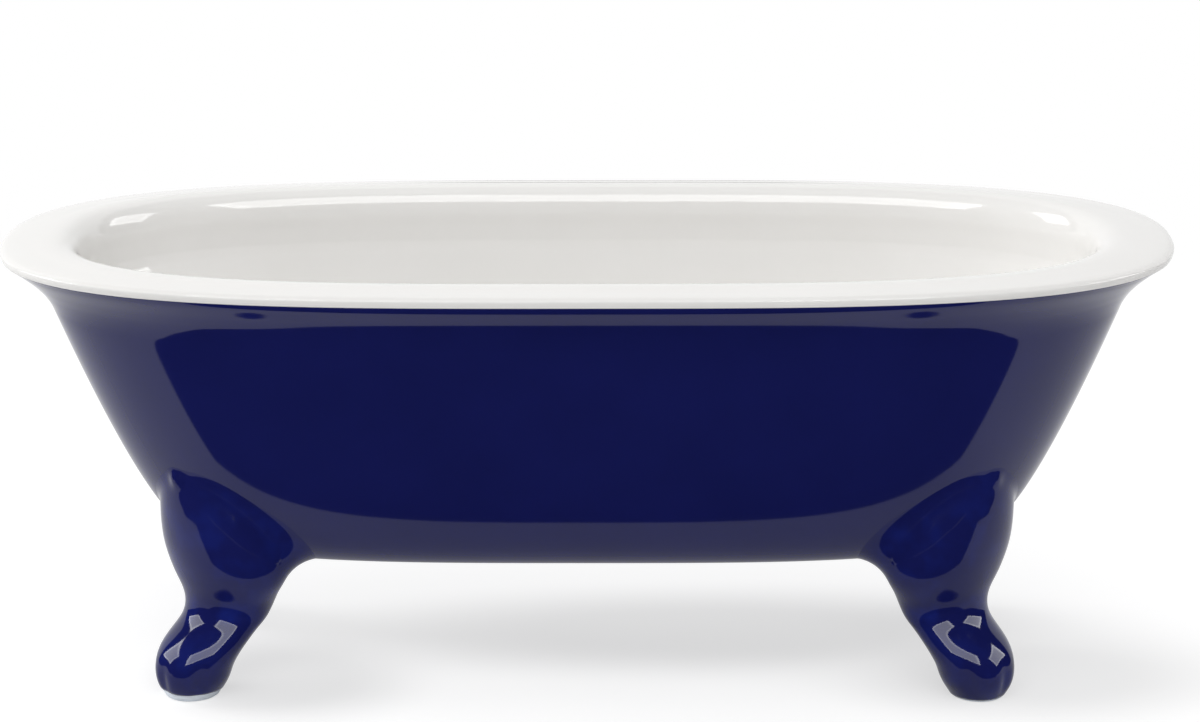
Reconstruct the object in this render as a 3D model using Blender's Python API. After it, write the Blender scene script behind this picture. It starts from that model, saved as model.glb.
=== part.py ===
"""Soap dish in the form of a double-ended bath on four paw feet, slip-cast and glazed.

Metres, +Z up. The dish stands on Z = 0 with the middle of its footprint at the origin,
its length along X and the front towards -Y.
"""
import math

import bmesh
import bpy
from mathutils import Vector

# The whole dish
LENGTH = 0.175
WIDTH = 0.074
HEIGHT = 0.0670
BODY_DEPTH = 0.0476
CLEARANCE = 0.0003

# Every level of the tub is a squared oval, with one power along it and one across
PLAN_LONG_POWER = 3.4
PLAN_CROSS_POWER = 2.45
RING_POINTS = 64
ARC_SAMPLES = 2000

# Rolled lip: how far it droops to its outer edge, and the line where white meets blue
LIP_DROOP = 0.0007
LIP_EDGE_INSET = 0.0003
LIP_EDGE_RADIUS = 0.0012
LIP_INNER_RADIUS = 0.0034
GLAZE_LINE_DEPTH = 0.0021
LIP_SEAT_WIDTH = 0.0036

# Walls: the full thickness, and the share of it that the blue outer wall takes
WALL = 0.0045
OUTER_WALL = 0.0021

# Flare under the lip, down to where the wall starts
FLARE_DEPTH = 0.0099
END_FLARE = 0.0076
SIDE_FLARE = 0.0050

# Where the wall turns under, and the edge of the flat base that it turns into
TURN_DEPTH = 0.0398
END_TURN_INSET = 0.0216
SIDE_TURN_INSET = 0.0148
END_BASE_INSET = 0.0328
BASE_WIDTH = 0.0260

# Shares (end, side, depth) of the way between two levels where each curve's control lies
FLARE_CONTROL_SHARES = (0.82, 0.73, 0.50)
WALL_CONTROL_SHARES = (0.61, 0.58, 0.72)
TURN_CONTROL_SHARES = (0.46, 0.37, 1.00)
FLARE_STEPS = 6
WALL_STEPS = 5
TURN_STEPS = 5
LIP_STEPS = 4

# How far the surface leans from upright at the three levels, in degrees
FLARE_ANGLE = 18.0
TURN_ANGLE = 31.0
BASE_ANGLE = 90.0

# Feet: how far in from the lip's ends the soles stand and how far out from its middle,
# which way the paws point from the front, and their sizes
END_SOLE_INSET = 0.0292
SOLE_ACROSS = 0.0178
PAW_ANGLE = 40.0
PAW_LENGTH = 0.0124
PAW_WIDTH = 0.0120
ANKLE_SETBACK = 0.0082
SOLE_THICKNESS = 0.0008
SOLE_MARGIN = 0.0003
FOOT_POINTS = 36
TOE_CREASE = 0.0007
TOE_CREASE_ANGLES = (-50.0, 10.0, 70.0)
TOE_CREASE_SPREAD_ANGLE = 13.0

# The shoulder of a foot climbs the tub's corner to a tip: how high, which way from the
# paw, how sharply, and how far it leans out with the wall for each length that it climbs
SHOULDER_RISE = 0.0125
SHOULDER_ANGLE = 35.0
SHOULDER_POWER = 1.6
SHOULDER_LEAN_SHARE = 0.18

# One row for each level of a foot, from the sole up into the tub, as shares: height of
# the clear space under the tub, set-back of the ankle, half length of the paw's length,
# half width of its width, rise of the shoulder, and depth of the crease between the toes
FOOT_LEVEL_SHARES = (
    (0.00, 0.00, 0.36, 0.35, 0.00, 0.0),
    (0.05, 0.00, 0.42, 0.41, 0.00, 0.4),
    (0.12, 0.01, 0.46, 0.45, 0.00, 0.8),
    (0.20, 0.04, 0.49, 0.48, 0.00, 1.0),
    (0.30, 0.17, 0.51, 0.53, 0.00, 1.0),
    (0.38, 0.34, 0.51, 0.55, 0.00, 0.7),
    (0.46, 0.57, 0.50, 0.56, 0.00, 0.3),
    (0.53, 0.79, 0.49, 0.57, 0.00, 0.0),
    (0.60, 0.92, 0.47, 0.58, 0.02, 0.0),
    (0.68, 0.96, 0.47, 0.64, 0.08, 0.0),
    (0.77, 0.92, 0.51, 0.77, 0.22, 0.0),
    (0.87, 0.84, 0.56, 0.91, 0.45, 0.0),
    (0.98, 0.83, 0.58, 0.97, 0.75, 0.0),
    (1.10, 0.93, 0.56, 0.91, 1.00, 0.0),
    (1.25, 1.08, 0.48, 0.75, 1.10, 0.0),
)

CORNERS = {
    "front_left": (-1.0, -1.0),
    "front_right": (1.0, -1.0),
    "back_left": (-1.0, 1.0),
    "back_right": (1.0, 1.0),
}

# Colours, with the roughness of each surface
WHITE_GLAZE = ("white_glaze", (0.86, 0.85, 0.83, 1.0), 0.08)
BLUE_GLAZE = ("cobalt_glaze", (0.010, 0.014, 0.130, 1.0), 0.06)
BARE_CLAY = ("bare_clay", (0.80, 0.78, 0.74, 1.0), 0.75)


def glaze(name, colour, roughness):
    """A plain surface of one colour."""
    material = bpy.data.materials.new(name)
    material.use_nodes = True
    shader = material.node_tree.nodes["Principled BSDF"]
    shader.inputs["Base Color"].default_value = colour
    shader.inputs["Roughness"].default_value = roughness
    shader.inputs["Metallic"].default_value = 0.0
    return material


def level(end_inset, side_inset, depth):
    """A level of the tub: its inset at the ends and sides, and its depth below the crest."""
    return Vector((end_inset, side_inset, depth))


def between(start, end, shares):
    """The level that lies the given shares of the way from one level to another."""
    return level(*(a + (b - a) * share for a, b, share in zip(start, end, shares)))


def curve_levels(start, control, end, steps):
    """Levels along the smooth curve that leaves start towards control and arrives at end."""
    levels = []
    for step in range(1, steps + 1):
        share = step / steps
        first = start.lerp(control, share)
        levels.append(first.lerp(control.lerp(end, share), share))
    return levels


def inward(place, distance, lean):
    """A level moved into the wall, square to a surface that leans from upright."""
    across = distance * math.cos(math.radians(lean))
    return place + level(across, across, -distance * math.sin(math.radians(lean)))


def wall_levels(distance):
    """Levels of the wall and its turn into the base, a distance in from the outer surface."""
    top = inward(level(END_FLARE, SIDE_FLARE, FLARE_DEPTH), distance, FLARE_ANGLE)
    turn = inward(level(END_TURN_INSET, SIDE_TURN_INSET, TURN_DEPTH), distance, TURN_ANGLE)
    side_base_inset = (WIDTH - BASE_WIDTH) / 2
    base = inward(level(END_BASE_INSET, side_base_inset, BODY_DEPTH), distance, BASE_ANGLE)
    levels = [top]
    levels += curve_levels(top, between(top, turn, WALL_CONTROL_SHARES), turn, WALL_STEPS)
    levels += curve_levels(turn, between(turn, base, TURN_CONTROL_SHARES), base, TURN_STEPS)
    return levels


def flare_levels(glaze_line, wall_top):
    """Levels of the outer flare, from the glaze line down to the top of the wall."""
    control = between(glaze_line, wall_top, FLARE_CONTROL_SHARES)
    return curve_levels(glaze_line, control, wall_top, FLARE_STEPS)


def seat_levels(glaze_line, wall_top):
    """Levels of the joint between white lip and blue wall, from the edge inwards and down."""
    seat = glaze_line + level(LIP_SEAT_WIDTH, LIP_SEAT_WIDTH, 0)
    corner = level(wall_top.x, wall_top.y, seat.z)
    return [seat] + curve_levels(seat, corner, wall_top, LIP_STEPS)


def lip_levels(inner_face):
    """Levels of the lip, from the basin's inner face over the crest to the outer edge."""
    face = level(inner_face.x, inner_face.y, LIP_INNER_RADIUS)
    crest = level(face.x - LIP_INNER_RADIUS, face.y - LIP_INNER_RADIUS, 0)
    edge_top = level(LIP_EDGE_RADIUS, LIP_EDGE_RADIUS, LIP_DROOP)
    edge = level(0, 0, LIP_DROOP + LIP_EDGE_RADIUS / 2)
    levels = [face]
    levels += curve_levels(face, level(face.x, face.y, 0), crest, LIP_STEPS)
    levels += curve_levels(crest, crest.lerp(edge_top, 1 / 2), edge_top, LIP_STEPS)
    levels += curve_levels(edge_top, level(0, 0, LIP_DROOP), edge, LIP_STEPS)
    return levels


def plan_angles():
    """Angles of the ring's points, evenly spaced along the outline of the lip."""
    half = (LENGTH / 2, WIDTH / 2)
    angles = [math.pi / 2 * sample / ARC_SAMPLES for sample in range(ARC_SAMPLES + 1)]
    points = [plan_point(half, angle) for angle in angles]
    lengths = [0.0]
    for first, second in zip(points, points[1:]):
        lengths.append(lengths[-1] + (second - first).length)
    quarter = []
    sample = 0
    for step in range(RING_POINTS // 4):
        wanted = lengths[-1] * step / (RING_POINTS // 4)
        while lengths[sample + 1] < wanted:
            sample += 1
        span = lengths[sample + 1] - lengths[sample]
        share = (wanted - lengths[sample]) / span
        quarter.append(angles[sample] + (angles[sample + 1] - angles[sample]) * share)
    mirrored = [math.pi / 2] + [math.pi - angle for angle in reversed(quarter[1:])]
    front = quarter + mirrored
    return front + [angle + math.pi for angle in front]


def plan_point(half, angle):
    """A point on the squared oval with the given half length and half width."""
    cosine = math.cos(angle)
    sine = math.sin(angle)
    along = math.copysign(abs(cosine) ** (2 / PLAN_LONG_POWER), cosine)
    across = math.copysign(abs(sine) ** (2 / PLAN_CROSS_POWER), sine)
    return Vector((half[0] * along, half[1] * across))


def level_ring(place, angles):
    """The points of one level, seen from above in the order of the angles."""
    half = (LENGTH / 2 - place.x, WIDTH / 2 - place.y)
    ring = []
    for angle in angles:
        point = plan_point(half, angle)
        ring.append(Vector((point.x, point.y, HEIGHT - place.z)))
    return ring


def loft(name, rings, material):
    """A closed solid skinned over rings of equal count, capped flat at both ends.

    The rings run with the solid's inside on their left, seen from the first ring.
    """
    mesh = bpy.data.meshes.new(name)
    shape = bmesh.new()
    loops = [[shape.verts.new(point) for point in ring] for ring in rings]
    count = len(rings[0])
    for lower, upper in zip(loops, loops[1:]):
        for spot in range(count):
            after = (spot + 1) % count
            shape.faces.new((lower[spot], lower[after], upper[after], upper[spot]))
    shape.faces.new(list(reversed(loops[0])))
    shape.faces.new(loops[-1])
    bmesh.ops.recalc_face_normals(shape, faces=shape.faces[:])
    shape.to_mesh(mesh)
    shape.free()
    mesh.shade_smooth()
    mesh.set_sharp_from_angle(angle=math.radians(40))
    solid = bpy.data.objects.new(name, mesh)
    if material is not None:
        mesh.materials.append(material)
    return solid


def foot_ring(shares, corner):
    """One level of a foot at the given corner, with the creases between its toes."""
    height, back, half_length, half_width, rise_share, crease = shares
    outward = Vector((math.sin(math.radians(PAW_ANGLE)), math.cos(math.radians(PAW_ANGLE)), 0))
    sideways = Vector((outward.y, -outward.x, 0))
    middle = Vector((LENGTH / 2 - END_SOLE_INSET, SOLE_ACROSS, 0))
    middle += Vector((0, 0, foot_height(height))) - outward * back * ANKLE_SETBACK
    ring = []
    for spot in range(FOOT_POINTS):
        angle = 2 * math.pi * spot / FOOT_POINTS
        cut = 0
        for toe in TOE_CREASE_ANGLES:
            off = math.degrees(math.remainder(angle - math.radians(toe), 2 * math.pi))
            cut += crease * TOE_CREASE * math.exp(-(off / TOE_CREASE_SPREAD_ANGLE) ** 2)
        towards_tip = (1 + math.cos(angle - math.radians(SHOULDER_ANGLE))) / 2
        rise = rise_share * SHOULDER_RISE * towards_tip ** SHOULDER_POWER
        out = (half_length * PAW_LENGTH - cut) * math.cos(angle) + rise * SHOULDER_LEAN_SHARE
        across = (half_width * PAW_WIDTH - cut) * math.sin(angle)
        point = middle + outward * out + sideways * across
        ring.append(Vector((corner[0] * point.x, corner[1] * point.y, point.z + rise)))
    if corner[0] * corner[1] > 0:
        ring.reverse()
    return ring


def foot_height(share):
    """The height of a level of a foot, as a share of the way from its sole to the tub."""
    lowest = SOLE_THICKNESS + CLEARANCE
    return lowest + (HEIGHT - BODY_DEPTH - lowest) * share


def make_basin(angles, material):
    """The white basin: inner wall and floor, rolled lip, and the back that the blue wall hugs."""
    inside = wall_levels(WALL)
    back = wall_levels(OUTER_WALL + CLEARANCE)
    lower_edge = level(LIP_EDGE_INSET, LIP_EDGE_INSET, GLAZE_LINE_DEPTH - CLEARANCE / 2)
    levels = list(reversed(inside))
    levels += lip_levels(inside[0])
    levels.append(lower_edge)
    levels += seat_levels(lower_edge, back[0])
    levels += back[1:]
    return loft("white_basin", [level_ring(place, angles) for place in levels], material)


def make_outer_wall(angles, material):
    """The blue outer wall: its hidden inner face, the seat under the lip, flare and wall."""
    front = wall_levels(0)
    back = wall_levels(OUTER_WALL)
    upper_edge = level(LIP_EDGE_INSET, LIP_EDGE_INSET, GLAZE_LINE_DEPTH + CLEARANCE / 2)
    levels = list(reversed(seat_levels(upper_edge, back[0]) + back[1:]))
    levels.append(upper_edge)
    levels += flare_levels(upper_edge, front[0])
    levels += front[1:]
    return loft("blue_outer_wall", [level_ring(place, angles) for place in levels], material)


def make_tub_cutter(angles):
    """The space that the tub fills, with the clearance that the feet keep to it."""
    skin = wall_levels(-CLEARANCE)
    rings = [level_ring(place, angles) for place in skin]
    return loft("tub_cutter", rings, None)


def make_foot(name, corner, cutter, material):
    """A paw foot whose top is cut to the tub's outer surface."""
    rings = [foot_ring(shares, corner) for shares in FOOT_LEVEL_SHARES]
    foot = loft(name, rings, material)
    cut = foot.modifiers.new("saddle", "BOOLEAN")
    cut.operation = "DIFFERENCE"
    cut.solver = "EXACT"
    cut.object = cutter
    return foot


def make_sole(name, corner, material):
    """The bare clay face under a paw, where the glaze was wiped off before firing."""
    outline = foot_ring(FOOT_LEVEL_SHARES[0], corner)
    middle = sum(outline, Vector()) / len(outline)
    rings = []
    for margin, height in ((SOLE_MARGIN, 0), (0, SOLE_THICKNESS)):
        ring = []
        for point in outline:
            arm = Vector((point.x - middle.x, point.y - middle.y, 0))
            arm.length -= margin
            ring.append(Vector((middle.x + arm.x, middle.y + arm.y, height)))
        rings.append(ring)
    return loft(name, rings, material)


def build():
    """Model the dish in one collection, and its cutter in another."""
    for old in list(bpy.data.objects):
        bpy.data.objects.remove(old, do_unlink=True)
    dish = bpy.data.collections.new("soap_dish")
    cutters = bpy.data.collections.new("cutters")
    bpy.context.scene.collection.children.link(dish)
    bpy.context.scene.collection.children.link(cutters)

    angles = plan_angles()
    blue = glaze(*BLUE_GLAZE)
    clay = glaze(*BARE_CLAY)
    cutter = make_tub_cutter(angles)
    cutter.hide_render = True
    cutter.display_type = "WIRE"
    cutters.objects.link(cutter)

    dish.objects.link(make_basin(angles, glaze(*WHITE_GLAZE)))
    dish.objects.link(make_outer_wall(angles, blue))
    for place, corner in CORNERS.items():
        dish.objects.link(make_foot("foot_" + place, corner, cutter, blue))
        dish.objects.link(make_sole("sole_" + place, corner, clay))


build()
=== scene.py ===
"""Soap dish in the form of a double-ended bath on four paw feet, in white and cobalt glaze."""
import math

import bmesh
import bpy
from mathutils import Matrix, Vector
from mathutils.bvhtree import BVHTree
from mathutils.interpolate import poly_3d_calc


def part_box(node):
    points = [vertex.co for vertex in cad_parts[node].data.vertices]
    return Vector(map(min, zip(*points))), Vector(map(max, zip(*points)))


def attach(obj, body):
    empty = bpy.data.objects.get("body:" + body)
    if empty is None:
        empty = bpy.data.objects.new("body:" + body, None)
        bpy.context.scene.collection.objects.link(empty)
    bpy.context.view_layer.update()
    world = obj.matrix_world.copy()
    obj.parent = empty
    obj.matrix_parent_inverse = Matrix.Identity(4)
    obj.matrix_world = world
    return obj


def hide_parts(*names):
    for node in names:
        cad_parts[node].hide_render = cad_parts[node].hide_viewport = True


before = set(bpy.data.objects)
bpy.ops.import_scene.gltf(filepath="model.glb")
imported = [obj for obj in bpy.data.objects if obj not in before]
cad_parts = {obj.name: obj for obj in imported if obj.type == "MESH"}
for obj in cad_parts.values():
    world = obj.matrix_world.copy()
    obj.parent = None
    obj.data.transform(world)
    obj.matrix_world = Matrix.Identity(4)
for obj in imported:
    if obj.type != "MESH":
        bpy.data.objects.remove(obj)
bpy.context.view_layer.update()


# The liner of the tub: slip-cast white earthenware under a glossy white glaze, which runs
# from the flat floor up the wall and over the rolled lip. Cast in one with the outer wall,
# it ends in a line wiped clean just under the lip's edge.
lip_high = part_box("white_basin")[1]
HALF_LENGTH = lip_high.x
HALF_WIDTH = lip_high.y
CREST = lip_high.z
TUB_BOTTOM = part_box("blue_outer_wall")[0].z
BODY_DEPTH = CREST - TUB_BOTTOM
PLAN_LONG_POWER = 3.4
PLAN_CROSS_POWER = 2.45
ROUND_POINTS = 320
WALL = 0.0045
OUTER_WALL = 0.0021
SHELL_GAP = 0.0003
END_FLARE = 0.0076
SIDE_FLARE = 0.0050
FLARE_DEPTH = 0.0099
END_TURN_INSET = 0.0216
SIDE_TURN_INSET = 0.0148
TURN_DEPTH = 0.0398
END_BASE_INSET = 0.0328
SIDE_BASE_INSET = HALF_WIDTH - 0.0130
WALL_CONTROL_SHARES = (0.61, 0.58, 0.72)
TURN_CONTROL_SHARES = (0.46, 0.37, 1.00)
FLARE_ANGLE = 18.0
TURN_ANGLE = 31.0
BASE_ANGLE = 90.0
LIP_INNER_RADIUS = 0.0034
LIP_INNER_BEND = 0.0010
# Each row is a level: its inset at the ends, at the sides, and its depth below the crest.
LIP_LEVELS = (
    (0.0036, 0.0036, 0.00030),
    (0.0012, 0.0012, 0.00058),
    (0.00045, 0.00045, 0.00080),
    (0.00005, 0.00005, 0.00105),
    (0.0, 0.0, 0.0013),
    (0.00007, 0.00007, 0.0017),
)
GLAZE_LINE = (0.00025, 0.00022, 0.0021)
LIP_SEAT_WIDTH = 0.0030
CLOSING_SHARES = (0.93, 0.80, 0.60, 0.35, 0.12)
OUTLINE_SAMPLES = 4000
WALL_STEPS = 30
TURN_STEPS = 24
LIP_STEPS = 5
SEAT_STEPS = 4
LINER_PASSES = 4
GLAZE_INDEX = 1.45
GLAZE_RIPPLE = 0.000006


def level(end_inset, side_inset, depth):
    """A level of the tub: its inset at the ends and sides, and its depth below the crest."""
    return Vector((end_inset, side_inset, depth))


def between(start, end, shares):
    """The level that lies the given shares of the way from one level to another."""
    return level(*(a + (b - a) * share for a, b, share in zip(start, end, shares)))


def bow(start, control, end, steps):
    """Levels along the curve that leaves start towards control and arrives at end."""
    levels = []
    for step in range(1, steps + 1):
        share = step / steps
        first = start.lerp(control, share)
        levels.append(first.lerp(control.lerp(end, share), share))
    return levels


def through(places, steps):
    """A smooth course through every one of the given places, with steps between each two."""
    ends = [places[0] * 2 - places[1]] + list(places) + [places[-1] * 2 - places[-2]]
    course = [places[0]]
    for before, start, end, after in zip(ends, ends[1:], ends[2:], ends[3:]):
        leave = (end - before) / 2
        arrive = (after - start) / 2
        for step in range(1, steps + 1):
            share = step / steps
            settled = share ** 2 * (3 - 2 * share)
            course.append(start * (1 - settled) + end * settled
                          + leave * (share * (1 - share) ** 2)
                          - arrive * (share ** 2 * (1 - share)))
    return course


def inward(place, distance, lean):
    """A level moved into the wall, square to a surface that leans from upright."""
    across = distance * math.cos(math.radians(lean))
    return place + level(across, across, -distance * math.sin(math.radians(lean)))


def wall_course(distance):
    """Levels of the wall and its turn into the base, a distance in from the outside."""
    top = inward(level(END_FLARE, SIDE_FLARE, FLARE_DEPTH), distance, FLARE_ANGLE)
    turn = inward(level(END_TURN_INSET, SIDE_TURN_INSET, TURN_DEPTH), distance, TURN_ANGLE)
    base = inward(level(END_BASE_INSET, SIDE_BASE_INSET, BODY_DEPTH), distance, BASE_ANGLE)
    course = [top]
    course += bow(top, between(top, turn, WALL_CONTROL_SHARES), turn, WALL_STEPS)
    course += bow(turn, between(turn, base, TURN_CONTROL_SHARES), base, TURN_STEPS)
    return course


def lip_course(inner_face):
    """Levels of the rolled lip, from the inner face over the crest to the glaze line."""
    face = level(inner_face.x, inner_face.y, LIP_INNER_RADIUS)
    bend = face - level(LIP_INNER_BEND, LIP_INNER_BEND, LIP_INNER_RADIUS - LIP_INNER_BEND)
    crest = face - level(LIP_INNER_RADIUS, LIP_INNER_RADIUS, LIP_INNER_RADIUS)
    places = [inner_face, inner_face.lerp(face, 1 / 2), face, bend, crest]
    places += [level(*place) for place in LIP_LEVELS] + [level(*GLAZE_LINE)]
    return [level(*(max(size, 0) for size in place)) for place in through(places, LIP_STEPS)]


def eased(course, passes):
    """A course with its corners worn soft, its first and last places kept."""
    for _ in range(passes):
        middle = [(a + b * 2 + c) / 4 for a, b, c in zip(course, course[1:], course[2:])]
        course = [course[0]] + middle + [course[-1]]
    return course


def oval_point(turn):
    """The place on the lip's squared oval outline at a turn, seen from above."""
    along = math.copysign(abs(math.cos(turn)) ** (2 / PLAN_LONG_POWER), math.cos(turn))
    across = math.copysign(abs(math.sin(turn)) ** (2 / PLAN_CROSS_POWER), math.sin(turn))
    return Vector((HALF_LENGTH * along, HALF_WIDTH * across, 0))


def even_turns(count):
    """The turns whose places lie evenly along the lip's outline."""
    lengths = [0.0]
    last = oval_point(0)
    for sample in range(1, OUTLINE_SAMPLES + 1):
        point = oval_point(2 * math.pi * sample / OUTLINE_SAMPLES)
        lengths.append(lengths[-1] + (point - last).length)
        last = point
    turns = []
    sample = 0
    for step in range(count):
        wanted = lengths[-1] * step / count
        while lengths[sample + 1] < wanted:
            sample += 1
        share = (wanted - lengths[sample]) / (lengths[sample + 1] - lengths[sample])
        turns.append(2 * math.pi * (sample + share) / OUTLINE_SAMPLES)
    return turns


def drawn(mesh, edges):
    """Extrudes a ring of edges once, and gives the new ring's vertices and edges."""
    made = bmesh.ops.extrude_edge_only(mesh, edges=edges)["geom"]
    verts = [part for part in made if isinstance(part, bmesh.types.BMVert)]
    fresh = set(verts)
    rim = [part for part in made if isinstance(part, bmesh.types.BMEdge)
           and fresh.issuperset(part.verts)]
    return verts, rim


def close_flat(mesh, ring):
    """Fills a ring with smaller and smaller rings down to a single point."""
    fresh = set(ring)
    edges = [edge for edge in mesh.edges if edge.is_boundary and fresh.issuperset(edge.verts)]
    middle = sum((vert.co for vert in ring), Vector()) / len(ring)
    last = 1.0
    for share in CLOSING_SHARES:
        verts, edges = drawn(mesh, edges)
        for vert in verts:
            vert.co = middle + (vert.co - middle) * share / last
        last = share
    verts, edges = drawn(mesh, edges)
    bmesh.ops.pointmerge(mesh, verts=verts, merge_co=middle)


def thrown(course):
    """A closed shell that runs through every level of a course, from one pole to the other."""
    mesh = bmesh.new()
    first = bmesh.ops.create_circle(mesh, segments=ROUND_POINTS, radius=1)["verts"]
    for vert, turn in zip(first, even_turns(ROUND_POINTS)):
        vert.co = oval_point(turn)
    ring = first
    edges = mesh.edges[:]
    half = Vector((HALF_LENGTH, HALF_WIDTH))
    for step, place in enumerate(course):
        if step:
            ring, edges = drawn(mesh, edges)
        wanted = Vector((HALF_LENGTH - place.x, HALF_WIDTH - place.y))
        for vert in ring:
            vert.co.x *= wanted.x / half.x
            vert.co.y *= wanted.y / half.y
            vert.co.z = CREST - place.z
        half = wanted
    close_flat(mesh, ring)
    close_flat(mesh, first)
    bmesh.ops.recalc_face_normals(mesh, faces=mesh.faces[:])
    return mesh


def finished(mesh, name, material, node):
    """Makes a piece of a mesh, smooth and in its material, in place of a CAD node."""
    data = bpy.data.meshes.new(name)
    mesh.to_mesh(data)
    mesh.free()
    data.shade_smooth()
    data.materials.append(material)
    piece = bpy.data.objects.new(name, data)
    bpy.context.scene.collection.objects.link(piece)
    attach(piece, "root")
    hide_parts(node)


def glaze_surface():
    """The faint flow of a fired glaze, as a group: broad mottling and a fine orange peel."""
    group = bpy.data.node_groups.new("glaze_surface", "ShaderNodeTree")
    group.interface.new_socket("Vector", in_out="INPUT", socket_type="NodeSocketVector")
    group.interface.new_socket("Mottle", in_out="OUTPUT", socket_type="NodeSocketFloat")
    group.interface.new_socket("Flow", in_out="OUTPUT", socket_type="NodeSocketFloat")
    nodes = group.nodes
    links = group.links
    entry = nodes.new("NodeGroupInput")
    leave = nodes.new("NodeGroupOutput")
    mottle = nodes.new("ShaderNodeTexNoise")
    mottle.inputs["Scale"].default_value = 70.0
    mottle.inputs["Detail"].default_value = 3.0
    flow = nodes.new("ShaderNodeTexNoise")
    flow.inputs["Scale"].default_value = 130.0
    flow.inputs["Detail"].default_value = 1.0
    links.new(entry.outputs["Vector"], mottle.inputs["Vector"])
    links.new(entry.outputs["Vector"], flow.inputs["Vector"])
    links.new(mottle.outputs["Fac"], leave.inputs["Mottle"])
    links.new(flow.outputs["Fac"], leave.inputs["Flow"])
    return group


GLAZE_SURFACE = glaze_surface()


def glazed(name, index, thin, thick, roughness):
    """A glossy glaze of an index of refraction, which shifts between two colours."""
    material = bpy.data.materials.new(name)
    material.use_nodes = True
    nodes = material.node_tree.nodes
    links = material.node_tree.links
    shader = nodes["Principled BSDF"]
    shader.inputs["IOR"].default_value = index
    place = nodes.new("ShaderNodeTexCoord")
    surface = nodes.new("ShaderNodeGroup")
    surface.node_tree = GLAZE_SURFACE
    colour = nodes.new("ShaderNodeMix")
    colour.data_type = "RGBA"
    colour.inputs["A"].default_value = thin
    colour.inputs["B"].default_value = thick
    gloss = nodes.new("ShaderNodeMapRange")
    gloss.inputs["To Min"].default_value = roughness[0]
    gloss.inputs["To Max"].default_value = roughness[1]
    bump = nodes.new("ShaderNodeBump")
    bump.inputs["Strength"].default_value = 1.0
    bump.inputs["Distance"].default_value = GLAZE_RIPPLE
    links.new(place.outputs["Object"], surface.inputs["Vector"])
    links.new(surface.outputs["Mottle"], colour.inputs["Factor"])
    links.new(colour.outputs["Result"], shader.inputs["Base Color"])
    links.new(surface.outputs["Mottle"], gloss.inputs["Value"])
    links.new(gloss.outputs["Result"], shader.inputs["Roughness"])
    links.new(surface.outputs["Flow"], bump.inputs["Height"])
    links.new(bump.outputs["Normal"], shader.inputs["Normal"])
    return material


white_glaze = glazed("white_glaze", GLAZE_INDEX, thin=(0.86, 0.85, 0.83, 1.0),
                     thick=(0.89, 0.88, 0.865, 1.0), roughness=(0.05, 0.09))

inside = wall_course(WALL)
liner_back = wall_course(OUTER_WALL + SHELL_GAP)
glaze_line = level(*GLAZE_LINE)
seat = glaze_line + level(LIP_SEAT_WIDTH, LIP_SEAT_WIDTH, 0)
seat_corner = level(liner_back[0].x, liner_back[0].y, seat.z)
liner_face = list(reversed(eased(inside, LINER_PASSES))) + lip_course(inside[0])[1:]
liner_hidden = [seat] + bow(seat, seat_corner, liner_back[0], SEAT_STEPS) + liner_back[1:]
finished(thrown(liner_face + liner_hidden), "white_liner_and_lip",
         white_glaze, "white_basin")


# The outside of the tub: the same cast wall under a deep cobalt glaze, poured over the
# roll under the lip, the flare, the sides and the underside.
COBALT_THIN = (0.0092, 0.0120, 0.104, 1.0)
COBALT_THICK = (0.0068, 0.0092, 0.080, 1.0)
COBALT_ROUGHNESS = (0.05, 0.08)
FLARE_STEPS = 4
OUTSIDE_PASSES = 3
# Each row is a level, as in the lip.
FLARE_LEVELS = (
    (0.00110, 0.00045, 0.0026),
    (0.00176, 0.00078, 0.0031),
    (0.00306, 0.00162, 0.0041),
    (0.00422, 0.00245, 0.0051),
    (0.00531, 0.00323, 0.0062),
    (0.00598, 0.00374, 0.0070),
    (0.00668, 0.00425, 0.0080),
    (0.00724, 0.00466, 0.0090),
)
cobalt_glaze = glazed("cobalt_glaze", GLAZE_INDEX, COBALT_THIN, COBALT_THICK, COBALT_ROUGHNESS)

outside = wall_course(0)
wall_back = wall_course(OUTER_WALL)
flare_places = [glaze_line] + [level(*place) for place in FLARE_LEVELS] + [outside[0]]
flare = through(flare_places, FLARE_STEPS)
inner_seat = level(wall_back[0].x, wall_back[0].y, seat.z)
wall_hidden = [seat] + bow(seat, inner_seat, wall_back[0], SEAT_STEPS) + wall_back[1:]
wall_mesh = thrown(list(reversed(wall_hidden)) + eased(flare + outside[1:], OUTSIDE_PASSES))
wall_mesh.normal_update()
wall_tree = BVHTree.FromBMesh(wall_mesh)
wall_mesh.faces.ensure_lookup_table()
wall_faces = [[vert.co.copy() for vert in face.verts] for face in wall_mesh.faces]
wall_normals = [[vert.normal.copy() for vert in face.verts] for face in wall_mesh.faces]
finished(wall_mesh, "cobalt_outer_wall", cobalt_glaze, "blue_outer_wall")


# The feet: four cast cabriole legs with paws, luted to the corners of the tub with slip.
# The joint is fettled smooth and glazed over, so each skin runs out onto the wall, and as
# they are set by hand, no two stand quite alike. All are made where X and Y are positive.
sole_low, sole_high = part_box("sole_front_right")
SOLE_X = (sole_low.x + sole_high.x) / 2
SOLE_Y = -(sole_low.y + sole_high.y) / 2
FOOT_START = 0.0011
FOOT_POINTS = 128
PAW_ANGLE = math.radians(40.0)
OUTWARD = Vector((math.sin(PAW_ANGLE), math.cos(PAW_ANGLE), 0))
SIDEWAYS = Vector((math.cos(PAW_ANGLE), -math.sin(PAW_ANGLE), 0))
PAW_LENGTH = 0.0124
PAW_WIDTH = 0.0120
ANKLE_SETBACK = 0.0082
SHOULDER_RISE = 0.0125
SHOULDER_ANGLE = 35.0
SHOULDER_POWER = 1.6
SHOULDER_LEAN_SHARE = 0.18
SHIFT_FADE = 1.4
TOE_CREASE = 0.0006
TOE_CREASES = (-55.0, 8.0, 70.0)
TOE_CREASE_SPREAD = 11.0
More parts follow.
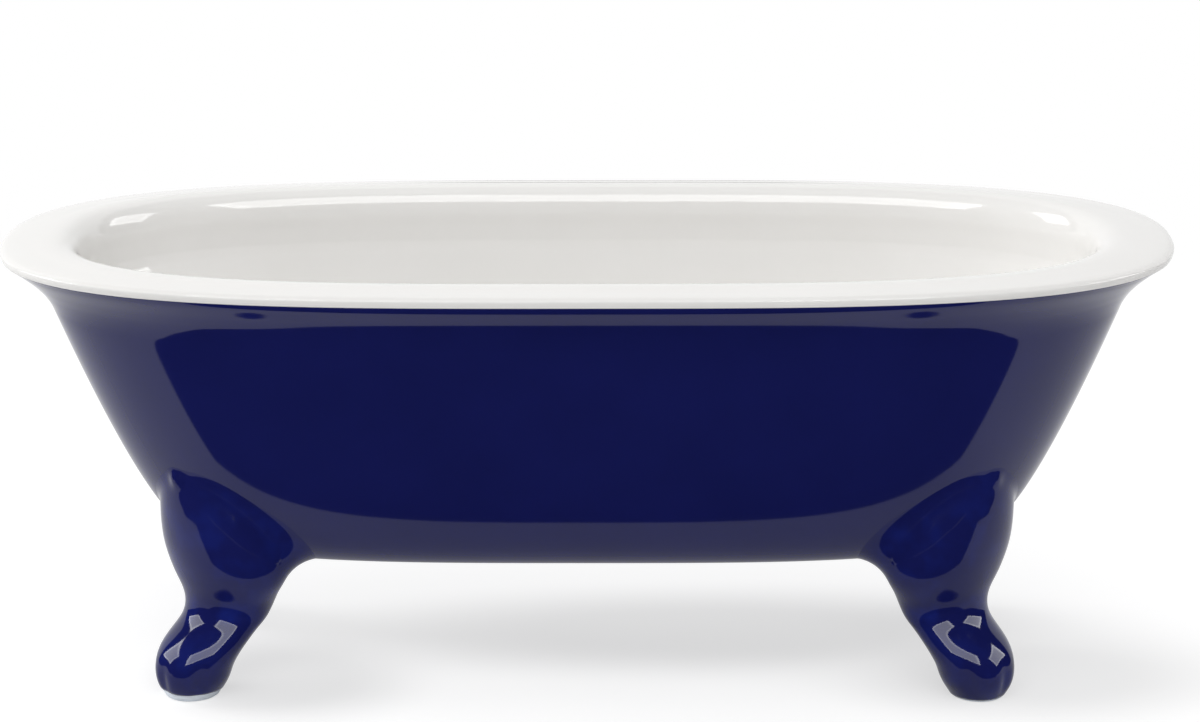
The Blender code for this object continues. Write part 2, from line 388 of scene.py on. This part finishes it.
FILLET = 0.0010
INNER_FILLET = 0.0052
INNER_ANGLE = -140.0
FILLET_STEPS = 12
FILLET_HANDLE = 0.6
WALL_RUN = 0.0005
RUN_STEPS = 4
ROOT_DEPTH = 0.0004
LEG_STEPS = 6
COLUMN_STEPS = 110
COLUMN_PASSES = 8
JOINT_PASSES = 2
RUN_PASSES = 40
RING_PASSES = 3
CREASE_STEPS = 60
STEPS_PER_PASS = 4
FADE_STEPS = 24
# The hollows and creases of the feet get a painted glow, a brighter blue in their glaze; these
# set how much of it there is and where.
CREASE_GLOW_SHARE = 0.12
HOLLOW = 240.0
HOLLOW_PASSES = 6
NEARLY_ZERO = 1e-12
FOOT_INDEX = 1.38
CREASE_GLOW_COLOUR = (0.012, 0.036, 0.36, 1.0)
CREASE_GLOW_SCALE = 190.0
GLAZE_EDGE = 0.00010
GLAZE_TUCK = 4 * GLAZE_EDGE
WIPE_WAVE = 0.12
WIPE_RIPPLE = 0.06
KNOB_PLACE = Vector((0.0608, 0.0171, 0.0334))
KNOB_WAY = Vector((0.45, 0.80, 0.40))
KNOB_SPREAD = 0.0012
# Each row is a share of the leg's height, of its set-back and side shift, of its half length
# and half width, of the shoulder's rise and of the toe creases' depth.
LEG_LEVEL_SHARES = (
    (-0.06, 0.00, 0.020, 0.330, 0.320, 0.00, 0.0),
    (-0.03, 0.00, 0.020, 0.358, 0.348, 0.00, 0.0),
    (0.00, 0.00, 0.020, 0.387, 0.377, 0.00, 0.2),
    (0.05, 0.00, 0.015, 0.432, 0.422, 0.00, 0.6),
    (0.12, 0.01, 0.005, 0.465, 0.460, 0.00, 0.9),
    (0.20, 0.04, 0.000, 0.490, 0.480, 0.00, 0.6),
    (0.30, 0.17, 0.000, 0.510, 0.520, 0.00, 0.1),
    (0.38, 0.34, 0.000, 0.510, 0.540, 0.00, 0.0),
    (0.46, 0.57, 0.000, 0.500, 0.545, 0.00, 0.0),
    (0.53, 0.78, 0.000, 0.490, 0.560, 0.00, 0.0),
    (0.60, 0.90, 0.010, 0.475, 0.585, 0.02, 0.0),
    (0.68, 0.94, 0.020, 0.480, 0.640, 0.08, 0.0),
    (0.77, 0.89, 0.035, 0.510, 0.755, 0.22, 0.0),
    (0.87, 0.85, 0.020, 0.550, 0.860, 0.45, 0.0),
    (0.98, 0.87, -0.010, 0.560, 0.905, 0.75, 0.0),
    (1.10, 0.94, -0.010, 0.545, 0.870, 1.00, 0.0),
    (1.25, 1.06, -0.010, 0.480, 0.740, 1.10, 0.0),
    (1.60, 1.50, 0.000, 0.340, 0.450, 1.20, 0.0),
)
# Each foot has its corner, its shift along the tub, the height that is wiped and its knob.
FEET = {
    "front_left": ((-1.0, -1.0), 0.0007, 0.00130, 0.00090),
    "front_right": ((1.0, -1.0), 0.0, 0.00040, 0.00055),
    "back_left": ((-1.0, 1.0), 0.0, 0.00080, 0.00070),
    "back_right": ((1.0, 1.0), -0.0013, 0.00070, 0.00060),
}
FOOT_TURNS = [2 * math.pi * spot / FOOT_POINTS for spot in range(FOOT_POINTS)]
LEG_LEVELS = through([Vector(row) for row in LEG_LEVEL_SHARES], LEG_STEPS)


def leg_point(row, turn, shift):
    """The skin of a leg at a row's height and a turn about it."""
    height, back, side, half_length, half_width, rise_share, crease = row
    middle = Vector((SOLE_X, SOLE_Y, FOOT_START + (TUB_BOTTOM - FOOT_START) * height))
    middle.x += shift * min(max((1 - height) * SHIFT_FADE, 0), 1)
    middle += SIDEWAYS * side * PAW_WIDTH - OUTWARD * back * ANKLE_SETBACK
    cut = 0
    for place in TOE_CREASES:
        off = math.degrees(math.remainder(turn - math.radians(place), 2 * math.pi))
        cut += crease * TOE_CREASE * math.exp(-(off / TOE_CREASE_SPREAD) ** 2)
    to_tip = (1 + math.cos(turn - math.radians(SHOULDER_ANGLE))) / 2
    rise = rise_share * SHOULDER_RISE * to_tip ** SHOULDER_POWER
    out = (half_length * PAW_LENGTH - cut) * math.cos(turn) + rise * SHOULDER_LEAN_SHARE
    across = (half_width * PAW_WIDTH - cut) * math.sin(turn)
    return middle + OUTWARD * out + SIDEWAYS * across + Vector((0, 0, rise))


def wall_near(point):
    """The nearest place on the tub's outside, and the way that the surface faces there."""
    place, _, face, _ = wall_tree.find_nearest(point)
    facing = Vector()
    for weight, normal in zip(poly_3d_calc(wall_faces[face], place), wall_normals[face]):
        facing += normal * weight
    return place, facing.normalized()


def reaches(line):
    """The length along a line up to each of its points."""
    lengths = [0.0]
    for first, second in zip(line, line[1:]):
        lengths.append(lengths[-1] + (second - first).length)
    return lengths


def along(line, lengths, wanted):
    """The point at a length along a line."""
    spot = 0
    while spot < len(line) - 2 and lengths[spot + 1] < wanted:
        spot += 1
    share = (wanted - lengths[spot]) / max(lengths[spot + 1] - lengths[spot], NEARLY_ZERO)
    return line[spot].lerp(line[spot + 1], share)


def joint_length(line, lengths):
    """The length along a line at which it enters the tub."""
    last = 0
    for spot, point in enumerate(line):
        place, facing = wall_near(point)
        clear = (point - place).dot(facing)
        if clear < 0:
            share = last / (last - clear)
            return lengths[spot - 1] + (lengths[spot] - lengths[spot - 1]) * share
        last = clear
    raise ValueError("a line of the leg misses the tub")


def rounded(ring, passes):
    """A ring of values, each worn towards the two beside it."""
    for _ in range(passes):
        ring = [(ring[spot - 1] + ring[spot] * 2 + ring[(spot + 1) % len(ring)]) / 4
                for spot in range(len(ring))]
    return ring


def filleted(line, lengths, reach, joint, run):
    """A line up the leg that bends over the joint and goes on along the tub's skin."""
    start = along(line, lengths, reach[0])
    climb = (along(line, lengths, reach[0] + WALL_RUN) - start).normalized()
    end, facing = wall_near(joint + run * reach[1])
    run = (run - facing * run.dot(facing)).normalized()
    handle = reach[1] * FILLET_HANDLE
    first = start + climb * handle
    second = end - run * handle
    column = [point for point, length in zip(line, lengths) if length < reach[0]] + [start]
    for step in range(1, FILLET_STEPS + 1):
        share = step / FILLET_STEPS
        a = start.lerp(first, share)
        b = first.lerp(second, share)
        c = second.lerp(end, share)
        column.append(a.lerp(b, share).lerp(b.lerp(c, share), share))
    for step in range(1, RUN_STEPS + 1):
        end, facing = wall_near(end + run * WALL_RUN)
        run = (run - facing * run.dot(facing)).normalized()
        column.append(end)
    return column, end - facing * ROOT_DEPTH


def leg_columns(shift, knob):
    """Even lines up the whole skin of a leg, from the floor to their roots in the tub."""
    lines = [[leg_point(row, turn, shift) for row in LEG_LEVELS] for turn in FOOT_TURNS]
    lengths = [reaches(line) for line in lines]
    meets = [joint_length(line, length) for line, length in zip(lines, lengths)]
    joints = rounded([along(*parts) for parts in zip(lines, lengths, meets)], JOINT_PASSES)
    runs = []
    for spot in range(FOOT_POINTS):
        facing = wall_near(joints[spot])[1]
        way = joints[(spot + 1) % FOOT_POINTS] - joints[spot - 1]
        runs.append(way.cross(facing).normalized())
    runs = rounded(runs, RUN_PASSES)
    columns = []
    for spot, turn in enumerate(FOOT_TURNS):
        inner = (1 + math.cos(turn - math.radians(INNER_ANGLE))) / 2
        reach = FILLET + (INNER_FILLET - FILLET) * inner ** 2
        column, root = filleted(lines[spot], lengths[spot], (meets[spot] - reach, reach),
                                joints[spot], runs[spot].normalized())
        measure = reaches(column)
        even = [along(column, measure, measure[-1] * step / COLUMN_STEPS)
                for step in range(COLUMN_STEPS + 1)]
        columns.append(eased(even, COLUMN_PASSES) + [root])
    rings = []
    for step, ring in enumerate(zip(*columns)):
        passes = RING_PASSES + max(step - CREASE_STEPS, 0) // STEPS_PER_PASS
        rings.append(rounded(ring, passes))
    for ring in rings[:-1]:
        for point in ring:
            off = (point - KNOB_PLACE).length / KNOB_SPREAD
            point += KNOB_WAY * knob * math.exp(-off ** 2)
    return [list(column) for column in zip(*rings)]


def at_corner(corner, point):
    """A point mirrored to a corner, or one that is there mirrored back."""
    return Vector((corner[0] * point.x, corner[1] * point.y, point.z))


def skinned(corner, rings, rooted):
    """A closed skin through rings of points, set at a corner, and rooted in the tub or not."""
    mesh = bmesh.new()
    order = mesh.verts.layers.int.new("column")
    # This layer marks the painted glow of the hollows. It fades out over the last rings, by the
    # wall.
    fade = mesh.verts.layers.float.new("glow_mark")
    first = bmesh.ops.create_circle(mesh, segments=FOOT_POINTS, radius=1)["verts"]
    for spot, vert in enumerate(first):
        vert[order] = spot
    ring = first
    edges = mesh.edges[:]
    for step, points in enumerate(rings):
        if step:
            ring, edges = drawn(mesh, edges)
        for vert in ring:
            vert.co = at_corner(corner, points[vert[order]])
            vert[fade] = min((len(rings) - 1 - step) / FADE_STEPS, 1)
    sides = set(mesh.verts)
    close_flat(mesh, ring)
    if rooted:
        for vert in [vert for vert in mesh.verts if vert not in sides]:
            place, facing = wall_near(at_corner(corner, vert.co))
            vert.co = at_corner(corner, place - facing * ROOT_DEPTH)
    close_flat(mesh, first)
    bmesh.ops.recalc_face_normals(mesh, faces=mesh.faces[:])
    return mesh


def marked_for_glow(mesh):
    """Marks where a glow is painted, a brighter blue: most in the hollows, none at the outer
    feather edge.
    """
    mesh.normal_update()
    mesh.verts.index_update()
    glow_mark = mesh.verts.layers.float["glow_mark"]
    beside = [[edge.other_vert(vert) for edge in vert.link_edges] for vert in mesh.verts]
    hollow = []
    for vert, others in zip(mesh.verts, beside):
        rise = sum((other.co - vert.co).dot(vert.normal) for other in others)
        span = sum((other.co - vert.co).length_squared for other in others)
        hollow.append(rise / max(span, NEARLY_ZERO))
    for _ in range(HOLLOW_PASSES):
        hollow = [(hollow[spot] + sum(hollow[other.index] for other in others))
                  / (len(others) + 1) for spot, others in enumerate(beside)]
    for vert, depth in zip(mesh.verts, hollow):
        vert[glow_mark] *= CREASE_GLOW_SHARE + (1 - CREASE_GLOW_SHARE) * min(max(depth / HOLLOW, 0), 1)
    return mesh


def drawn_in(point, middle, distance, height):
    """A point moved towards the middle of a foot and set at a height."""
    arm = Vector((point.x - middle.x, point.y - middle.y, 0))
    arm.length -= distance
    return Vector((middle.x + arm.x, middle.y + arm.y, height))


def rim_point(column, height):
    """The point of a column at a height over the table, and the points above it."""
    spot = next(spot for spot, point in enumerate(column) if point.z > height)
    low, high = column[spot - 1], column[spot]
    return low.lerp(high, (height - low.z) / (high.z - low.z)), column[spot:]


def painted_glow(material, colour, scale):
    """Paints a glow: brightens a glaze to a colour where the skin is marked, in patches of a
    noise's scale.
    """
    nodes = material.node_tree.nodes
    links = material.node_tree.links
    shader = nodes["Principled BSDF"]
    plain = shader.inputs["Base Color"].links[0].from_socket
    place = nodes.new("ShaderNodeTexCoord")
    cloud = nodes.new("ShaderNodeTexNoise")
    cloud.inputs["Scale"].default_value = scale
    cloud.inputs["Detail"].default_value = 2.0
    patch = nodes.new("ShaderNodeMapRange")
    patch.interpolation_type = "SMOOTHSTEP"
    patch.inputs["From Min"].default_value = 0.42
    patch.inputs["From Max"].default_value = 0.68
    mark = nodes.new("ShaderNodeAttribute")
    mark.attribute_name = "glow_mark"
    depth = nodes.new("ShaderNodeMath")
    depth.operation = "MULTIPLY"
    mixed = nodes.new("ShaderNodeMix")
    mixed.data_type = "RGBA"
    mixed.inputs["B"].default_value = colour
    links.new(place.outputs["Object"], cloud.inputs["Vector"])
    links.new(cloud.outputs["Fac"], patch.inputs["Value"])
    links.new(patch.outputs["Result"], depth.inputs[0])
    links.new(mark.outputs["Fac"], depth.inputs[1])
    links.new(depth.outputs["Value"], mixed.inputs["Factor"])
    links.new(plain, mixed.inputs["A"])
    links.new(mixed.outputs["Result"], shader.inputs["Base Color"])


foot_glaze = glazed("cobalt_glaze_feet", FOOT_INDEX, COBALT_THIN, COBALT_THICK,
                    COBALT_ROUGHNESS)
# Painted glow: in patches in the hollows and creases, the feet's glaze turns a brighter blue.
painted_glow(foot_glaze, CREASE_GLOW_COLOUR, CREASE_GLOW_SCALE)

soles = {}
for place, (corner, shift, wiped, knob) in FEET.items():
    columns = leg_columns(shift, knob)
    middle = Vector((SOLE_X + shift, SOLE_Y, 0))
    rims = []
    skins = []
    for turn, column in zip(FOOT_TURNS, columns):
        wave = WIPE_WAVE * math.sin(turn + 1) + WIPE_RIPPLE * math.sin(3 * turn)
        rim, above = rim_point(column, wiped * (1 + wave))
        glazed_line = [rim] + above[:-1]
        measure = reaches(glazed_line)
        skin = [along(glazed_line, measure, measure[-1] * step / COLUMN_STEPS)
                for step in range(COLUMN_STEPS + 1)]
        rims.append(rim)
        skins.append([drawn_in(rim, middle, GLAZE_TUCK, rim.z),
                      drawn_in(rim, middle, GLAZE_EDGE / 2, rim.z)] + skin + [column[-1]])
    soles[place] = (corner, middle, columns, rims)
    finished(marked_for_glow(skinned(corner, list(zip(*skins)), True)), "paw_foot_" + place,
             foot_glaze, "foot_" + place)


# The soles: where the glaze was wiped off under the paws, so that the dish would not stick
# to the kiln shelf, the bare fired clay shows, chalky white and a little rough.
SOLE_RINGS = ((0.00055, 0.0), (0.00022, 0.00006), (0.00010, 0.00022))
SOLE_SIDE_SHARES = (0.6, 1.0)
SOLE_LEAST_SIDE = 0.0003
SOLE_CLEAR = 0.00001
SOLE_PLUG = 0.0005
bare_clay = bpy.data.materials.new("bare_clay")
bare_clay.use_nodes = True
clay_nodes = bare_clay.node_tree.nodes
clay_links = bare_clay.node_tree.links
clay_shader = clay_nodes["Principled BSDF"]
clay_shader.inputs["Roughness"].default_value = 0.8
clay_place = clay_nodes.new("ShaderNodeTexCoord")
grit = clay_nodes.new("ShaderNodeTexNoise")
grit.inputs["Scale"].default_value = 1800.0
grit.inputs["Detail"].default_value = 4.0
clay_colour = clay_nodes.new("ShaderNodeMix")
clay_colour.data_type = "RGBA"
clay_colour.inputs["A"].default_value = (0.78, 0.84, 0.92, 1.0)
clay_colour.inputs["B"].default_value = (0.86, 0.91, 0.96, 1.0)
clay_bump = clay_nodes.new("ShaderNodeBump")
clay_bump.inputs["Distance"].default_value = 0.00002
clay_links.new(clay_place.outputs["Object"], grit.inputs["Vector"])
clay_links.new(grit.outputs["Fac"], clay_colour.inputs["Factor"])
clay_links.new(clay_colour.outputs["Result"], clay_shader.inputs["Base Color"])
clay_links.new(grit.outputs["Fac"], clay_bump.inputs["Height"])
clay_links.new(clay_bump.outputs["Normal"], clay_shader.inputs["Normal"])

for place, (corner, middle, columns, rims) in soles.items():
    rings = []
    for inset, height in SOLE_RINGS:
        rings.append([drawn_in(rim_point(column, max(height, SOLE_CLEAR))[0], middle,
                               inset, height) for column in columns])
    for share in SOLE_SIDE_SHARES:
        heights = [max(rim.z * share, SOLE_LEAST_SIDE) for rim in rims]
        rings.append([drawn_in(rim_point(column, height)[0], middle, GLAZE_EDGE, height)
                      for column, height in zip(columns, heights)])
    rings.append([drawn_in(rim, middle, GLAZE_TUCK, rim.z + SOLE_PLUG) for rim in rims])
    finished(skinned(corner, rings, False), "clay_sole_" + place,
             bare_clay, "sole_" + place)


# The table: a broad sheet of matt white paper. To the camera and in the glaze it glows, so that
# it ends in plain white away from the dish, and close by it keeps the dish's shadow. Over that
# shadow a painted shadow is laid: the glow is dimmed in ovals under the dish and beside the
# front paws. In the glaze, a painted shade also dims the paper between the feet.
TABLE_REACH = 3.0
PAINTED_SHADOW_BLEND = 0.012
# Each oval of painted shadow, where the glow is dimmed, has its middle and how far it is drawn
# out along the tub.
PAINTED_SHADOW_OVALS = (
    ((0.020, 0.010, 0), 3.0),
    ((-0.046, -0.012, 0), 1.0),
    ((0.068, -0.010, 0), 1.5),
)


def staged(name, shape, place, turn, material):
    """A part of the studio with a place and turn, in its material."""
    data = bpy.data.meshes.new(name)
    shape.to_mesh(data)
    shape.free()
    data.materials.append(material)
    stand = bpy.data.objects.new(name, data)
    stand.location = place
    stand.rotation_euler = turn
    bpy.context.scene.collection.objects.link(stand)
    return stand


def sheet(near, near_width, far, far_width):
    """A flat sheet from a near to a far place along Y, with a width at each."""
    mesh = bmesh.new()
    bmesh.ops.create_grid(mesh, x_segments=1, y_segments=1, size=0.5)
    for vert in mesh.verts:
        vert.co.x *= far_width if vert.co.y > 0 else near_width
        vert.co.y = far if vert.co.y > 0 else near
    return mesh


def background_rays(nodes, links):
    """A value of 1 for the rays that see the background: camera, gloss and glass."""
    ray = nodes.new("ShaderNodeLightPath")
    gloss = nodes.new("ShaderNodeMath")
    gloss.operation = "MAXIMUM"
    glass = nodes.new("ShaderNodeMath")
    glass.operation = "MAXIMUM"
    links.new(ray.outputs["Is Camera Ray"], gloss.inputs[0])
    links.new(ray.outputs["Is Glossy Ray"], gloss.inputs[1])
    links.new(gloss.outputs["Value"], glass.inputs[0])
    links.new(ray.outputs["Is Transmission Ray"], glass.inputs[1])
    return glass.outputs["Value"]


paper = bpy.data.materials.new("white_paper")
paper.use_nodes = True
nodes = paper.node_tree.nodes
links = paper.node_tree.links
shader = nodes["Principled BSDF"]
shader.inputs["Base Color"].default_value = (0.80, 0.80, 0.80, 1.0)
shader.inputs["Roughness"].default_value = 1.0
shader.inputs["Specular IOR Level"].default_value = 0.0
clean = nodes.new("ShaderNodeEmission")
blend = nodes.new("ShaderNodeMixShader")
place = nodes.new("ShaderNodeTexCoord")
away = nodes.new("ShaderNodeValue")
away.outputs["Value"].default_value = 1.0
# Painted shadow: the paper's glow is weakest near the middles of these ovals, so the paper is
# darker there, on top of its real shadow.
for middle, stretch in PAINTED_SHADOW_OVALS:
    oval = nodes.new("ShaderNodeMapping")
    oval.vector_type = "TEXTURE"
    oval.inputs["Location"].default_value = middle
    oval.inputs["Scale"].default_value = (stretch, 1.0, 1.0)
    reach = nodes.new("ShaderNodeVectorMath")
    reach.operation = "LENGTH"
    nearest = nodes.new("ShaderNodeMath")
    nearest.operation = "SMOOTH_MIN"
    nearest.inputs[2].default_value = PAINTED_SHADOW_BLEND
    links.new(place.outputs["Object"], oval.inputs["Vector"])
    links.new(oval.outputs["Vector"], reach.inputs[0])
    links.new(away.outputs["Value"], nearest.inputs[0])
    links.new(reach.outputs["Value"], nearest.inputs[1])
    away = nearest
# The painted shadow's depth: the glow is weaker close to the ovals and stronger away from them.
pale = nodes.new("ShaderNodeMapRange")
pale.interpolation_type = "SMOOTHSTEP"
pale.inputs["From Min"].default_value = 0.008
pale.inputs["From Max"].default_value = 0.026
pale.inputs["To Min"].default_value = 1.08
pale.inputs["To Max"].default_value = 1.38
far = nodes.new("ShaderNodeMapRange")
far.interpolation_type = "SMOOTHSTEP"
far.inputs["From Min"].default_value = 0.05
far.inputs["From Max"].default_value = 0.25
fade = nodes.new("ShaderNodeMath")
fade.operation = "MULTIPLY_ADD"
fade.inputs[1].default_value = 0.45
fade.inputs[2].default_value = 0.55
glow = nodes.new("ShaderNodeMath")
glow.operation = "MULTIPLY_ADD"
glow.inputs[1].default_value = -0.38
axes = nodes.new("ShaderNodeSeparateXYZ")
aside = nodes.new("ShaderNodeMath")
aside.operation = "ABSOLUTE"
# Painted shade in the glaze: to the mirror of the glaze the paper glows less between the feet,
# and at full strength only out to the sides.
shade_in_gloss = nodes.new("ShaderNodeMapRange")
shade_in_gloss.interpolation_type = "SMOOTHSTEP"
shade_in_gloss.inputs["From Min"].default_value = 0.065
shade_in_gloss.inputs["From Max"].default_value = 0.10
shade_in_gloss.inputs["To Min"].default_value = 0.65
shade_in_gloss.inputs["To Max"].default_value = 1.0
ray = nodes.new("ShaderNodeLightPath")
strength = nodes.new("ShaderNodeMix")
seen = nodes.new("ShaderNodeMath")
seen.operation = "MULTIPLY"
links.new(place.outputs["Object"], axes.inputs["Vector"])
links.new(axes.outputs["X"], aside.inputs[0])
links.new(aside.outputs["Value"], shade_in_gloss.inputs["Value"])
links.new(ray.outputs["Is Camera Ray"], strength.inputs["Factor"])
links.new(shade_in_gloss.outputs["Result"], strength.inputs["A"])
links.new(glow.outputs["Value"], strength.inputs["B"])
links.new(away.outputs["Value"], pale.inputs["Value"])
links.new(away.outputs["Value"], far.inputs["Value"])
links.new(far.outputs["Result"], fade.inputs[0])
links.new(far.outputs["Result"], glow.inputs[0])
links.new(pale.outputs["Result"], glow.inputs[2])
links.new(strength.outputs["Result"], clean.inputs["Strength"])
links.new(fade.outputs["Value"], seen.inputs[0])
links.new(background_rays(nodes, links), seen.inputs[1])
links.new(seen.outputs["Value"], blend.inputs["Fac"])
links.new(shader.outputs["BSDF"], blend.inputs[1])
links.new(clean.outputs["Emission"], blend.inputs[2])
links.new(blend.outputs["Shader"], nodes["Material Output"].inputs["Surface"])
staged("table_top", sheet(-TABLE_REACH, 2 * TABLE_REACH, TABLE_REACH, 2 * TABLE_REACH),
       (0, 0, 0), (0, 0, 0), paper)


# The black cloth: sheets of it on the table and a tent of it round the room, open at the
# back. Only the mirror of the glaze shows them, which draws the dark shapes on the cobalt.
CLOTH_LIFT = 0.0005
CLOTH_EDGE = 0.035
BACK_CLOTH_WIDTH = 0.13
SIDE_CLOTH_EDGE = 0.147
TENT_RADIUS = 2.4
TENT_START = 0.001
TENT_OPENING = 1.4
# Each cloth has its turn, its near edge and the width there, its far edge and that width.
CLOTHS = {
    "black_cloth_front": (180.0, CLOTH_EDGE, 0.16, 1.2, 6.5),
    "black_cloth_back": (0.0, CLOTH_EDGE, BACK_CLOTH_WIDTH, 1.2, BACK_CLOTH_WIDTH),
    "black_cloth_left": (110.0, SIDE_CLOTH_EDGE, 0.04, 2.4, 3.0),
    "black_cloth_right": (-110.0, SIDE_CLOTH_EDGE, 0.04, 2.4, 3.0),
}


def seen_in_gloss_only(stand):
    """Leaves a part of the studio to the mirror of the glaze."""
    stand.visible_camera = False
    stand.visible_diffuse = False
    stand.visible_shadow = False
    stand.visible_transmission = False


black = bpy.data.materials.new("black_cloth")
black.use_nodes = True
shader = black.node_tree.nodes["Principled BSDF"]
shader.inputs["Base Color"].default_value = (0.01, 0.01, 0.012, 1.0)
shader.inputs["Roughness"].default_value = 1.0
shader.inputs["Specular IOR Level"].default_value = 0.0
for name, (turn, *cloth) in CLOTHS.items():
    seen_in_gloss_only(staged(name, sheet(*cloth), (0, 0, CLOTH_LIFT),
                              (0, 0, math.radians(turn)), black))
tent = bmesh.new()
bmesh.ops.create_uvsphere(tent, u_segments=48, v_segments=24, radius=TENT_RADIUS)
for place, way in (((0, 0, TENT_START), (0, 0, 1)), ((0, TENT_OPENING, 0), (0, -1, 0))):
    bmesh.ops.bisect_plane(tent, geom=tent.verts[:] + tent.edges[:] + tent.faces[:],
                           plane_co=place, plane_no=way, clear_inner=True)
seen_in_gloss_only(staged("black_tent", tent, (0, 0, 0), (0, 0, 0), black))


# The windows and lamps: three soft panes, brighter at their edges, which only the mirror of
# the glaze shows, and four broad lamps, which light the dish from above and three sides.
LAMP_DISTANCE = 1.02
# Each pane has its azimuth, its elevation, its width and its height.
WINDOWS = {
    "front_window": (-5.0, 49.0, 1.00, 0.60),
    "left_window": (-101.0, 33.0, 0.50, 0.50),
    "right_window": (92.0, 34.0, 0.65, 0.45),
}
# Each lamp has its azimuth, its elevation, its size and its power.
LAMPS = {
    "top_lamp": (-15.0, 74.0, 0.90, 2.7),
    "front_lamp": (-5.0, 42.0, 0.75, 2.4),
    "left_lamp": (-101.0, 25.0, 0.50, 4.3),
    "right_lamp": (92.0, 34.0, 0.55, 0.8),
}
window = bpy.data.materials.new("soft_window")
window.use_nodes = True
nodes = window.node_tree.nodes
links = window.node_tree.links
nodes.remove(nodes["Principled BSDF"])
light = nodes.new("ShaderNodeEmission")
place = nodes.new("ShaderNodeTexCoord")
axes = nodes.new("ShaderNodeSeparateXYZ")
halves = nodes.new("ShaderNodeVectorMath")
halves.operation = "ABSOLUTE"
edge = nodes.new("ShaderNodeMath")
edge.operation = "MAXIMUM"
glow = nodes.new("ShaderNodeMapRange")
glow.interpolation_type = "SMOOTHSTEP"
glow.inputs["From Min"].default_value = 0.36
glow.inputs["From Max"].default_value = 0.47
glow.inputs["To Min"].default_value = 5.0
glow.inputs["To Max"].default_value = 9.0
links.new(place.outputs["UV"], halves.inputs[0])
links.new(halves.outputs["Vector"], axes.inputs["Vector"])
links.new(axes.outputs["X"], edge.inputs[0])
links.new(axes.outputs["Y"], edge.inputs[1])
links.new(edge.outputs["Value"], glow.inputs["Value"])
links.new(glow.outputs["Result"], light.inputs["Strength"])
links.new(light.outputs["Emission"], nodes["Material Output"].inputs["Surface"])


def aimed(azimuth, elevation):
    """A place one metre from the dish, and the turn with which a panel there faces it."""
    swing = math.radians(azimuth)
    lift = math.radians(elevation)
    way = Vector((math.sin(swing) * math.cos(lift), -math.cos(swing) * math.cos(lift),
                  math.sin(lift)))
    return way, (-way).to_track_quat("-Z", "Y").to_euler()


for name, (azimuth, elevation, width, height) in WINDOWS.items():
    way, turn = aimed(azimuth, elevation)
    pane = bmesh.new()
    bmesh.ops.create_grid(pane, x_segments=1, y_segments=1, size=0.5)
    plan = pane.loops.layers.uv.new("UVMap")
    for face in pane.faces:
        for loop in face.loops:
            loop[plan].uv = loop.vert.co.xy
    bmesh.ops.scale(pane, vec=(width, height, 1), verts=pane.verts[:])
    seen_in_gloss_only(staged(name, pane, way, turn, window))
for name, (azimuth, elevation, size, power) in LAMPS.items():
    way, turn = aimed(azimuth, elevation)
    lamp = bpy.data.lights.new(name, "AREA")
    lamp.size = size
    lamp.energy = power
    holder = bpy.data.objects.new(name, lamp)
    holder.location = way * LAMP_DISTANCE
    holder.rotation_euler = turn
    holder.visible_glossy = False
    bpy.context.scene.collection.objects.link(holder)


# The room and the camera: an even, soft light from all round, which is white to the camera
# and in the glaze, and a long lens that looks a little down on the front of the dish.
world = bpy.data.worlds.new("studio")
bpy.context.scene.world = world
world.use_nodes = True
nodes = world.node_tree.nodes
links = world.node_tree.links
sky = nodes.new("ShaderNodeMix")
sky.data_type = "RGBA"
sky.inputs["A"].default_value = (0.42, 0.42, 0.42, 1.0)
sky.inputs["B"].default_value = (1.0, 1.0, 1.0, 1.0)
links.new(background_rays(nodes, links), sky.inputs["Factor"])
links.new(sky.outputs["Result"], nodes["Background"].inputs["Color"])

lens = bpy.data.cameras.new("camera")
lens.lens = 121.2
lens.sensor_width = 36.0
camera = bpy.data.objects.new("camera", lens)
camera.location = (0.01047, -0.58752, 0.21309)
camera.rotation_euler = (math.radians(74.1997), math.radians(0.2606), math.radians(0.7564))
bpy.context.scene.collection.objects.link(camera)
bpy.context.scene.camera = camera
bpy.context.scene.view_settings.view_transform = "Standard"
